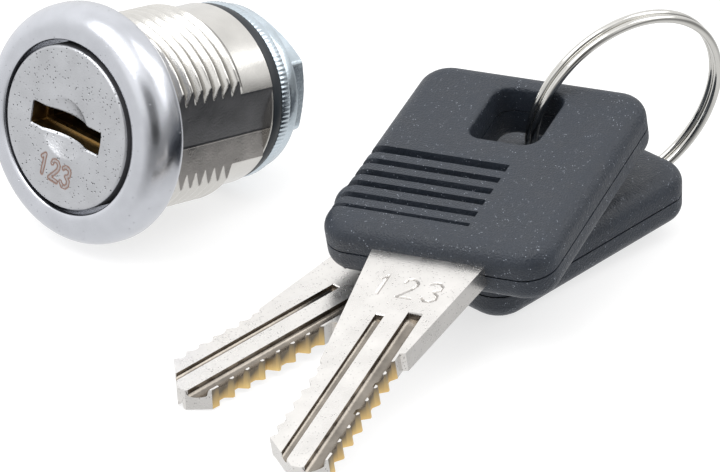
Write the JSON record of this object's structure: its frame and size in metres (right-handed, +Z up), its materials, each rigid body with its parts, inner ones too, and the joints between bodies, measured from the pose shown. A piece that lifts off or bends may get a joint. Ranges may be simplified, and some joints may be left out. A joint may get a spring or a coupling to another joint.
{
  "type": "cam lock with keys",
  "caption": "Round-flanged cam lock with a threaded double-D barrel, a turning plug, a cam on its tail, and a pair of plastic-headed keys on a split ring.",
  "frame": {"origin": "centre of the footprint of the lock and its keys, on the surface they lie on", "axes": "+Z up; +Y away from the viewer and along the layout's longest extent; +X to the viewer's right"},
  "size_m": [0.069, 0.0775, 0.0233],
  "materials": {
    "nickel": "bright nickel plate with a chrome front",
    "satin_chrome": "satin chrome with fine casting pits",
    "wafer_brass": "plain rolled brass",
    "bright_steel": "bright drawn spring steel",
    "zinc": "blue-white zinc plate",
    "black_washer": "smooth black nylon",
    "key_nickel": "nickel-plated brass, bare brass in the cuts",
    "head_plastic": "finely textured black plastic"
  },
  "bodies": {
    "housing": {"lock_housing": "nickel"},
    "plug": {"lock_plug": "satin_chrome", "spacer_washer": "black_washer", "stop_washer": "zinc", "cam": "zinc", "lock_washer": "bright_steel", "cam_nut": "zinc", "wafer_spring_1": "bright_steel", "wafer_spring_2": "bright_steel", "wafer_spring_3": "bright_steel", "wafer_spring_4": "bright_steel", "wafer_spring_5": "bright_steel", "wafer_spring_6": "bright_steel", "wafer_spring_7": "bright_steel"},
    "wafer_1_body": {"wafer_1": "wafer_brass"},
    "wafer_2_body": {"wafer_2": "wafer_brass"},
    "wafer_3_body": {"wafer_3": "wafer_brass"},
    "wafer_4_body": {"wafer_4": "wafer_brass"},
    "wafer_5_body": {"wafer_5": "wafer_brass"},
    "wafer_6_body": {"wafer_6": "wafer_brass"},
    "wafer_7_body": {"wafer_7": "wafer_brass"},
    "ring": {"key_ring": "bright_steel"},
    "key_a": {"key_a_blade": "key_nickel", "key_a_head_top": "head_plastic", "key_a_head_bottom": "head_plastic"},
    "key_b": {"key_b_blade": "key_nickel", "key_b_head_top": "head_plastic", "key_b_head_bottom": "head_plastic"}
  },
  "joints": [
    {"name": "plug_turn", "type": "hinge", "parent": "housing", "child": "plug", "pos_m": [-0.02716, 0.00714, 0.01245], "axis": [0.667, 0.7228, -0.1805], "range_deg": [0, 90]},
    {"name": "wafer_1_travel", "type": "slide", "parent": "plug", "child": "wafer_1_body", "axis": [-0.7286, 0.6835, 0.0446], "range_m": [-0.0006, 0], "stiffness_N_per_m": 20, "springref_m": -0.0006, "deforming": ["wafer_spring_1"]},
    {"name": "wafer_2_travel", "type": "slide", "parent": "plug", "child": "wafer_2_body", "axis": [0.7286, -0.6835, -0.0446], "range_m": [-0.0006, 0], "stiffness_N_per_m": 20, "springref_m": -0.0006, "deforming": ["wafer_spring_2"]},
    {"name": "wafer_3_travel", "type": "slide", "parent": "plug", "child": "wafer_3_body", "axis": [-0.7286, 0.6835, 0.0446], "range_m": [-0.0006, 0], "stiffness_N_per_m": 20, "springref_m": -0.0006, "deforming": ["wafer_spring_3"]},
    {"name": "wafer_4_travel", "type": "slide", "parent": "plug", "child": "wafer_4_body", "axis": [0.7286, -0.6835, -0.0446], "range_m": [-0.0006, 0], "stiffness_N_per_m": 20, "springref_m": -0.0006, "deforming": ["wafer_spring_4"]},
    {"name": "wafer_5_travel", "type": "slide", "parent": "plug", "child": "wafer_5_body", "axis": [-0.7286, 0.6835, 0.0446], "range_m": [-0.0006, 0], "stiffness_N_per_m": 20, "springref_m": -0.0006, "deforming": ["wafer_spring_5"]},
    {"name": "wafer_6_travel", "type": "slide", "parent": "plug", "child": "wafer_6_body", "axis": [0.7286, -0.6835, -0.0446], "range_m": [-0.0006, 0], "stiffness_N_per_m": 20, "springref_m": -0.0006, "deforming": ["wafer_spring_6"]},
    {"name": "wafer_7_travel", "type": "slide", "parent": "plug", "child": "wafer_7_body", "axis": [-0.7286, 0.6835, 0.0446], "range_m": [-0.0006, 0], "stiffness_N_per_m": 20, "springref_m": -0.0006, "deforming": ["wafer_spring_7"]},
    {"name": "keys_lift", "type": "slide", "parent": "housing", "child": "ring", "axis": [0, 0, 1], "range_m": [0, 0.04]},
    {"name": "key_a_swing", "type": "hinge", "parent": "ring", "child": "key_a", "pos_m": [0.01651, 0.00907, 0.01188], "axis": [-0.135, -0.1409, 0.9808], "range_deg": [-10, 60]},
    {"name": "key_b_swing", "type": "hinge", "parent": "ring", "child": "key_b", "pos_m": [0.01812, 0.01191, 0.00397], "axis": [-0.0417, -0.0444, 0.9981], "range_deg": [-15, 25]}
  ]
}
